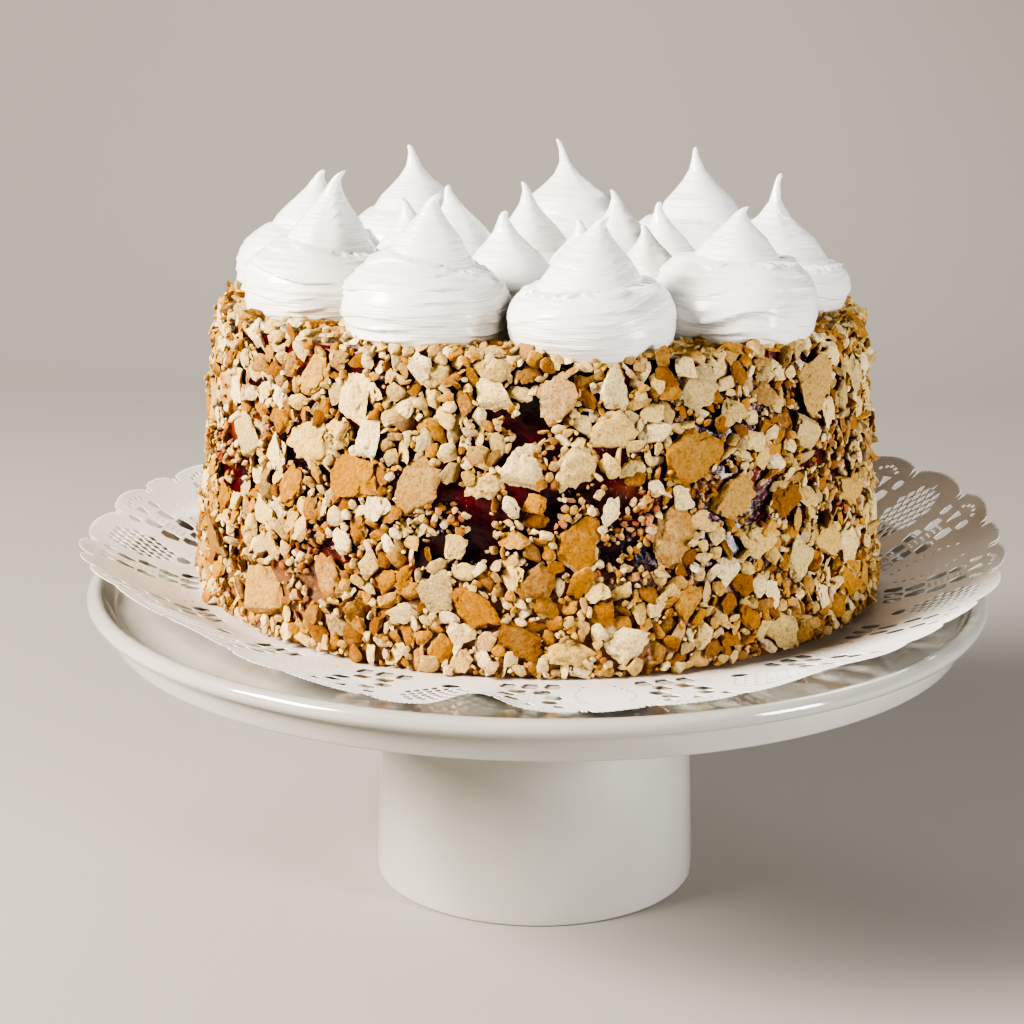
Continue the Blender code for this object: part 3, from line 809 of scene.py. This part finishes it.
def joinCopies(name, shapes, places, rng, material):  # one mesh of all the crumbs of a kind
    table = np.array(places)
    which = np.array([rng.randrange(len(shapes)) for _ in places])
    turn, up, length, width, thick, spin, leanX, leanY, proud, toast, tone, stain = table.T
    spot, outward, aside, above = sideFrame(turn, up)
    along = aside * np.cos(spin)[:, None] + above * np.sin(spin)[:, None]
    over, normal = leaned(np.cross(outward, along), outward, leanX)
    along, normal = leaned(along, normal, leanY)
    centre = spot + outward * (proud + piled(turn) * ease(up / 5))[:, None]
    allPoints, allFaces, allColours, start = [], [], [], 0
    for index, (points, faces) in enumerate(shapes):
        picked = np.nonzero(which == index)[0]
        if not len(picked):
            continue
        size = np.stack((length, width, thick), 1)[picked] / 2
        local = points[None] * size[:, None]
        world = (centre[picked][:, None]
                 + local[..., :1] * along[picked][:, None]
                 + local[..., 1:2] * over[picked][:, None]
                 + local[..., 2:] * normal[picked][:, None])
        crust = ease((points[:, 2] + 0.35) / 0.7)[None]
        edge = np.clip(np.hypot(points[:, 0], points[:, 1]), 0, 1)[None] ** 3
        baked = toast[picked][:, None]
        brown = np.clip(baked * (0.35 + 0.65 * crust) + 0.18 * edge * baked, 0, 1)
        tones = np.broadcast_to(tone[picked][:, None], brown.shape)
        stains = np.broadcast_to(stain[picked][:, None], brown.shape)
        colour = np.stack((tones, brown, stains, np.ones_like(brown)), -1)
        count = len(points)
        offsets = start + np.arange(len(picked)) * count
        allPoints.append(world.reshape(-1, 3))
        allFaces.append((faces[None] + offsets[:, None, None]).reshape(-1, 3))
        allColours.append(colour.reshape(-1, 4))
        start += len(picked) * count
    points, faces, colours = (np.concatenate(parts) for parts in (allPoints, allFaces, allColours))
    mesh = bpy.data.meshes.new(name)
    mesh.from_pydata((points * mm).tolist(), [], faces.tolist())
    layer = mesh.color_attributes.new("crumb", "FLOAT_COLOR", "POINT")
    layer.data.foreach_set("color", colours.ravel())
    piece = addPiece(name, mesh)
    bpy.ops.object.shade_smooth_by_angle(angle=math.radians(48))
    piece.location = (place["cakeX"], place["cakeY"], place["cakeBottom"])
    finishPiece(piece, name, material)
    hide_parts("cake")
    print(name, len(places), "crumbs", len(faces), "triangles")


def bakedCrumb():  # baked meringue and biscuit, broken: dry and porous, pale inside, brown crust
    material, tree, shader, coords = startMaterial(
        "broken meringue and biscuit", Roughness=0.78, IOR=1.4, Subsurface_Weight=0.08,
        Subsurface_Scale=1.5 * mm)
    told = addNode(tree, "ShaderNodeAttribute", attribute_name="crumb")
    parts = addNode(tree, "ShaderNodeSeparateColor", {"Color": told.outputs["Color"]})
    tone, brown, stain = parts.outputs
    # the greyish stop at 0.2 is partly the crumbs' own grey-beige tone and partly painted shade: greyer
    # copies of pale crumbs, as if in shade
    pale = addNode(tree, "ShaderNodeValToRGB", {"Fac": tone}, [
        (0.0, "#C9A362"), (0.2, "#CFBD90"), (0.4, "#E3C784"), (0.65, "#EFD8A2"), (1.0, "#F2E3BE")])
    toasted = addNode(tree, "ShaderNodeValToRGB", {"Fac": tone}, [
        (0.0, "#90601E"), (0.4, "#B57F2E"), (0.75, "#CC9840"), (1.0, "#9E6A24")])
    mottle = addNode(tree, "ShaderNodeTexNoise", {
        "Vector": coords, "Scale": 330.0, "Detail": 4.0, "Roughness": 0.65})
    amount = addNode(tree, "ShaderNodeMath", {0: mottle.outputs["Fac"], 1: 0.5}, operation="SUBTRACT")
    spread = addNode(tree, "ShaderNodeMath", {0: amount, 1: 0.9, 2: brown}, operation="MULTIPLY_ADD")
    level = addNode(tree, "ShaderNodeMath", {0: spread, 1: 1.0}, operation="MULTIPLY", use_clamp=True)
    body = addNode(tree, "ShaderNodeMix", {0: level, 6: pale, 7: toasted}, data_type="RGBA")
    specks = addNode(tree, "ShaderNodeTexNoise", {"Vector": coords, "Scale": 1100.0, "Detail": 2.0})
    dim = addNode(tree, "ShaderNodeValToRGB", {"Fac": specks.outputs["Fac"]}, [
        (0.30, "#D2BC96"), (0.48, "#F8F2E6"), (0.7, "#FFFFFF")])
    dimmed = addNode(tree, "ShaderNodeMix", {
        0: 0.8, 6: body.outputs[2], 7: dim}, data_type="RGBA", blend_type="MULTIPLY")
    pinked = addNode(tree, "ShaderNodeMix", {
        0: stain, 6: dimmed.outputs[2], 7: srgb("#A85A44")}, data_type="RGBA")
    tree.links.new(pinked.outputs[2], shader.inputs["Base Color"])
    pores = addNode(tree, "ShaderNodeTexNoise", {
        "Vector": coords, "Scale": 620.0, "Detail": 4.0, "Roughness": 0.7})
    bump = addNode(tree, "ShaderNodeBump", {
        "Height": pores.outputs["Fac"], "Strength": 1.0, "Distance": 1.1 * mm})
    tree.links.new(bump.outputs["Normal"], shader.inputs["Normal"])
    return material


def makeCrumbs():
    rng = random.Random(23)
    material = bakedCrumb()
    sets = scatterCrumbs()
    shapes = {}
    for name, (count, *how) in crumbShapes.items():
        shapes[name] = [crumbShape(rng, *how) for _ in range(count)]
    for name, places in sets.items():
        joinCopies(name + "Crumbs", shapes[name], places, rng, material)


makeCrumbs()
print("crumbs ready")


# Doily: stamped lace paper, cut flat as one repeat, laid round and then draped over the plate
lace = {
    "repeats": 9,
    "radius": 168.0,
    "thick": 0.32,
    "rows": (3, 40, 80, 105, 117, 121, 124, 126, 128.5, 131, 133.5, 136, 138.5, 141, 143.5, 146,
             148.5, 151, 153.5, 156, 158.5, 161, 163.5, 165.7, 168),
    "steps": 80,  # round one repeat
    "junctions": (-16.5, -6.5, 6.5, 16.5),  # degrees in a repeat where two petals meet
    "firstTurn": -12.0,  # degrees from the front of one repeat's middle
    "petalsFrom": 150,
    "flatTo": 126,  # the paper lies flat up to here, and then rises to the edge
    "riseLong": 40,
    "lies": 105.5,  # middle of the paper under the cake, over the table
    "wallFrom": 142.5,  # from the plate's axis, where the plate's wall lifts the paper
    "wallLong": 11.5,
    "wallTall": 8.6,
}
span = 360 / lace["repeats"]


def petalEdge(degrees):  # outline: one wide petal, two middling ones, a narrow one over the seam
    bounds = (-23.5,) + lace["junctions"] + (23.5,)
    for a, b in zip(bounds, bounds[1:]):
        if a <= degrees <= b:
            share = (degrees - a) / (b - a)
            deep = 0.16 * (b - a) + 1.6
            return lace["radius"] - deep * (1 - math.sin(math.pi * share) ** 0.62)
    return lace["radius"]


def laceHoles():  # outlines of the holes in one repeat: (r, degrees) points
    holes = []

    def hole(r, degrees, points):  # points are (outwards, aside) in mm round a middle
        holes.append([(r + out, degrees + math.degrees(aside / r)) for out, aside in points])

    def both(r, degrees, points):
        hole(r, degrees, points)
        hole(r, -degrees, [(out, -aside) for out, aside in points])

    def block(tall, wide, skew=0.0):
        return [(-tall / 2, -wide / 2 + skew), (-tall / 2, wide / 2 + skew),
                (tall / 2, wide / 2 - skew), (tall / 2, -wide / 2 - skew)]

    for row in range(8):  # diamond net of the pineapple
        r = 139.4 + row * 2.9
        half = 11.5 * math.sin(math.pi * (row + 1.3) / 10) ** 0.7
        count = int(half / 2.0)
        for i in range(-count, count + 1):
            if (i + row) % 2 == 0:
                hole(r, math.degrees(i * 2.0 / r), [(-2.25, 0), (0, 1.45), (2.25, 0), (0, -1.45)])
    hole(134.2, 0, [(2.6 * math.cos(a), 3.3 * math.sin(a)) for a in np.linspace(0, math.tau, 13)[:-1]])
    hole(162.6, 0, [(-1.2, -0.7), (-1.2, 0.7), (1.7, 0)])
    cell = [(-3.5, -1.6), (-3.2, 2.2), (-0.3, 3.1), (3.4, 1.8), (3.3, -2.0), (0.6, -3.1)]
    for r, degrees, size in (  # two slanting chains of cells round a band of pin holes
            (129.4, 7.4, 0.95), (129.4, 10.5, 1.0), (129.4, 13.6, 0.95), (136.9, 8.9, 1.03),
            (136.9, 12.1, 1.03), (144.5, 7.7, 1.0), (144.5, 13.5, 1.0), (151.8, 8.6, 0.92),
            (151.8, 13.0, 0.92), (158.2, 7.2, 0.66), (158.2, 13.9, 0.66)):
        both(r, degrees, [(out * size, aside * size) for out, aside in cell])
    both(157.8, 10.6, [(-3.0, -0.4), (2.2, 2.5), (2.6, -2.3)])
    for i in range(6):
        for j in (-1, 0, 1):
            both(141.8 + i * 2.1, 10.6 + math.degrees(j * 1.7 / 146), block(1.15, 1.0, 0.15))
    for i in range(9):  # pin holes along the plain leaf between two pineapples
        both(130.5 + i * 3.0, 16.3 + 1.5 * (abs(i - 4) / 4) ** 2, block(1.3, 1.1))
    for i in range(5):  # arc of small holes along the middling petal
        bow = 0.6 * (abs(i - 2) ** 1.5)
        both(164.2 - bow, 11.5 + math.degrees((i - 2) * 2.6 / 164), block(1.5, 1.7))
    for degrees in lace["junctions"]:  # notches that leave a spike where petals meet
        edge = petalEdge(degrees)
        for aside in (-1.5, 1.3):
            hole(edge + 0.2, degrees, [(-2.6, aside * 0.9), (2.2, aside * 1.9), (2.2, aside * 0.30)])
    for degrees in np.arange(-19.6, 19.7, 0.56):  # fine teeth along the outline
        if min(abs(degrees - j) for j in lace["junctions"]) > 0.8:
            hole(petalEdge(degrees) + 0.4, degrees, [(-1.45, 0.1), (0.7, 0.62), (0.7, -0.62)])
    return holes


def polar(r, degrees):  # a repeat's own middle lies along -y
    a = math.radians(degrees)
    return r * math.sin(a), -r * math.cos(a)


edgeHeights = (  # degrees from the front, height of the paper's edge over the table (mm)
    (-180, 127), (-150, 126), (-120, 123.5), (-103, 123.5), (-96, 121), (-89, 120), (-78, 123),
    (-66, 124.5), (-56, 125), (-47, 123), (-40, 122), (-33, 117), (-26, 115), (-17, 111.6),
    (-13, 111.2), (-9.5, 113), (-6.5, 118), (-3.5, 112.5), (2, 110.4), (6, 110.6), (10, 111.7),
    (17, 112.3), (23, 113.4), (31, 117), (40, 117.3), (49, 119.6), (56, 121), (68, 121), (80, 123.5),
    (89, 125), (95, 130), (110, 131.5), (125, 131), (150, 129), (180, 127))


def drape(points):  # mm from the cake's axis; how high the paper lies
    x, y = points[:, 0], points[:, 1]
    away = np.hypot(x, y)
    degrees = np.degrees(np.arctan2(x, -y))
    fromPlate = np.hypot(x + cakeAside, y + cakeBack)
    wall = lace["wallTall"] * ease((fromPlate - lace["wallFrom"]) / lace["wallLong"])
    free = np.clip((away - lace["flatTo"]) / lace["riseLong"], 0, 1.1)
    turns = [(degrees + d + 180) % 360 - 180 for d in range(-2, 3)]
    smooth = sum(np.interp(turn, *zip(*edgeHeights)) for turn in turns) / len(turns)
    rise = (smooth - lace["lies"]) * free ** 1.25
    return (wall + rise + np.sqrt((wall - rise) ** 2 + 1.0)) / 2 - 0.5 * (1 - free)


def makeRepeat():  # one flat repeat with its holes cut
    deselectAll()
    rows, start = lace["rows"], lace["petalsFrom"]
    bpy.ops.mesh.primitive_grid_add(x_subdivisions=lace["steps"], y_subdivisions=len(rows) - 1, size=1)
    sheet = bpy.context.object
    for vertex in sheet.data.vertices:
        degrees = span * vertex.co.x
        r = rows[round((vertex.co.y + 0.5) * (len(rows) - 1))]
        if r >= start:
            r = start + (r - start) * (petalEdge(degrees) - start) / (lace["radius"] - start)
        vertex.co = (*polar(r, degrees), 0)
    thickness = sheet.modifiers.new("thickness", "SOLIDIFY")
    thickness.thickness = lace["thick"]
    thickness.offset = 0
    bpy.ops.object.modifier_apply(modifier="thickness")
    points, faces = [], []
    for outline in laceHoles():
        flat = [polar(r, degrees) for r, degrees in outline]
        area = sum(a[0] * b[1] - b[0] * a[1] for a, b in zip(flat, flat[1:] + flat[:1]))
        flat = flat if area > 0 else flat[::-1]
        n, low = len(flat), len(points)
        high = low + n
        points += [(x, y, -1) for x, y in flat] + [(x, y, 1) for x, y in flat]
        faces.append([low + i for i in reversed(range(n))])
        faces.append([high + i for i in range(n)])
        faces += [(low + i, low + (i + 1) % n, high + (i + 1) % n, high + i) for i in range(n)]
    mesh = bpy.data.meshes.new("cutters")
    mesh.from_pydata(points, [], faces)
    cutter = bpy.data.objects.new("cutters", mesh)
    bpy.context.scene.collection.objects.link(cutter)
    cut = sheet.modifiers.new("holes", "BOOLEAN")
    cut.operation = "DIFFERENCE"
    cut.solver = "EXACT"
    cut.use_self = True
    cut.object = cutter
    bpy.ops.object.modifier_apply(modifier="holes")
    bpy.data.objects.remove(cutter, do_unlink=True)
    return sheet


def makeDoily():
    sheet = makeRepeat()
    bm = bmesh.new()
    bm.from_mesh(sheet.data)
    seam = []
    for face in bm.faces:
        angles = [math.degrees(math.atan2(v.co.x, -v.co.y)) for v in face.verts]
        if min(angles) > span / 2 - 0.01 or max(angles) < 0.01 - span / 2:
            seam.append(face)
    bmesh.ops.delete(bm, geom=seam, context="FACES")
    bm.to_mesh(sheet.data)
    bm.free()
    mesh = sheet.data
    points = np.array([v.co for v in mesh.vertices])
    faces = [tuple(p.vertices) for p in mesh.polygons]
    allPoints, allFaces = [], []
    for repeat in range(lace["repeats"]):
        a = math.radians(lace["firstTurn"] + span * repeat)
        turned = points.copy()
        turned[:, 0] = points[:, 0] * math.cos(a) - points[:, 1] * math.sin(a)
        turned[:, 1] = points[:, 0] * math.sin(a) + points[:, 1] * math.cos(a)
        allFaces += [tuple(v + repeat * len(points) for v in face) for face in faces]
        allPoints.append(turned)
    points = np.concatenate(allPoints)
    points[:, 2] += drape(points)
    whole = bpy.data.meshes.new("doilyLace")
    whole.from_pydata((points * mm).tolist(), [], allFaces)
    bpy.data.objects.remove(sheet, do_unlink=True)
    piece = addPiece("doilyLace", whole)
    bpy.ops.object.mode_set(mode="EDIT")
    bpy.ops.mesh.select_all(action="SELECT")
    bpy.ops.mesh.remove_doubles(threshold=0.02 * mm)
    bpy.ops.mesh.select_all(action="DESELECT")
    bpy.ops.mesh.select_non_manifold(extend=False)
    bpy.ops.mesh.fill_holes(sides=0)
    bpy.ops.mesh.select_all(action="SELECT")
    bpy.ops.mesh.normals_make_consistent(inside=False)
    bpy.ops.object.mode_set(mode="OBJECT")
    bpy.ops.object.shade_smooth_by_angle(angle=math.radians(40))
    piece.location = (place["cakeX"], place["cakeY"], lace["lies"] * mm)
    finishPiece(piece, "doilyLace", lacePaper())
    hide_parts("doily")
    print("doily triangles", sum(len(p.vertices) - 2 for p in piece.data.polygons))


def lacePaper():  # stamped paper: matt white, embossed with fine ribs, with painted brownish shade beside the cake
    material, tree, shader, coords = startMaterial("embossed lace paper", Roughness=0.72, IOR=1.4)
    centred = addNode(tree, "ShaderNodeVectorMath", {
        0: coords, 1: (place["cakeX"], place["cakeY"], 0)}, operation="SUBTRACT")
    flat = addNode(tree, "ShaderNodeVectorMath", {0: centred, 1: (1, 1, 0)}, operation="MULTIPLY")
    away = addNode(tree, "ShaderNodeVectorMath", {0: flat}, operation="LENGTH").outputs["Value"]
    cloud = addNode(tree, "ShaderNodeTexNoise", {"Vector": coords, "Scale": 60.0, "Detail": 3.0})
    # painted shade: the paper is darkened brownish in a cloudy ring round the cake's foot, where the cake
    # shades it
    near = addNode(tree, "ShaderNodeMapRange", {
        "Value": away, "From Min": 0.123, "From Max": 0.146, "To Min": 1.25, "To Max": 0.0})
    shadeBesideCake = addNode(tree, "ShaderNodeMath", {
        0: near, 1: cloud.outputs["Fac"]}, operation="MULTIPLY", use_clamp=True)
    colour = addNode(tree, "ShaderNodeMix", {
        0: shadeBesideCake, 6: srgb("#F2F0EE"), 7: srgb("#CDBBA8")}, data_type="RGBA")
    tree.links.new(colour.outputs[2], shader.inputs["Base Color"])
    ribs = addNode(tree, "ShaderNodeTexWave", {
        "Vector": coords, "Scale": 260.0, "Distortion": 0.4}, bands_direction="DIAGONAL")
    fibre = addNode(tree, "ShaderNodeTexNoise", {"Vector": coords, "Scale": 1300.0, "Detail": 2.0})
    first = addNode(tree, "ShaderNodeBump", {
        "Height": ribs.outputs["Fac"], "Strength": 0.25, "Distance": 0.15 * mm})
    second = addNode(tree, "ShaderNodeBump", {
        "Height": fibre.outputs["Fac"], "Strength": 0.2, "Distance": 0.1 * mm, "Normal": first})
    tree.links.new(second.outputs["Normal"], shader.inputs["Normal"])
    return material


makeDoily()
print("doily ready")


# Bring the scene up to date
bpy.context.view_layer.update()
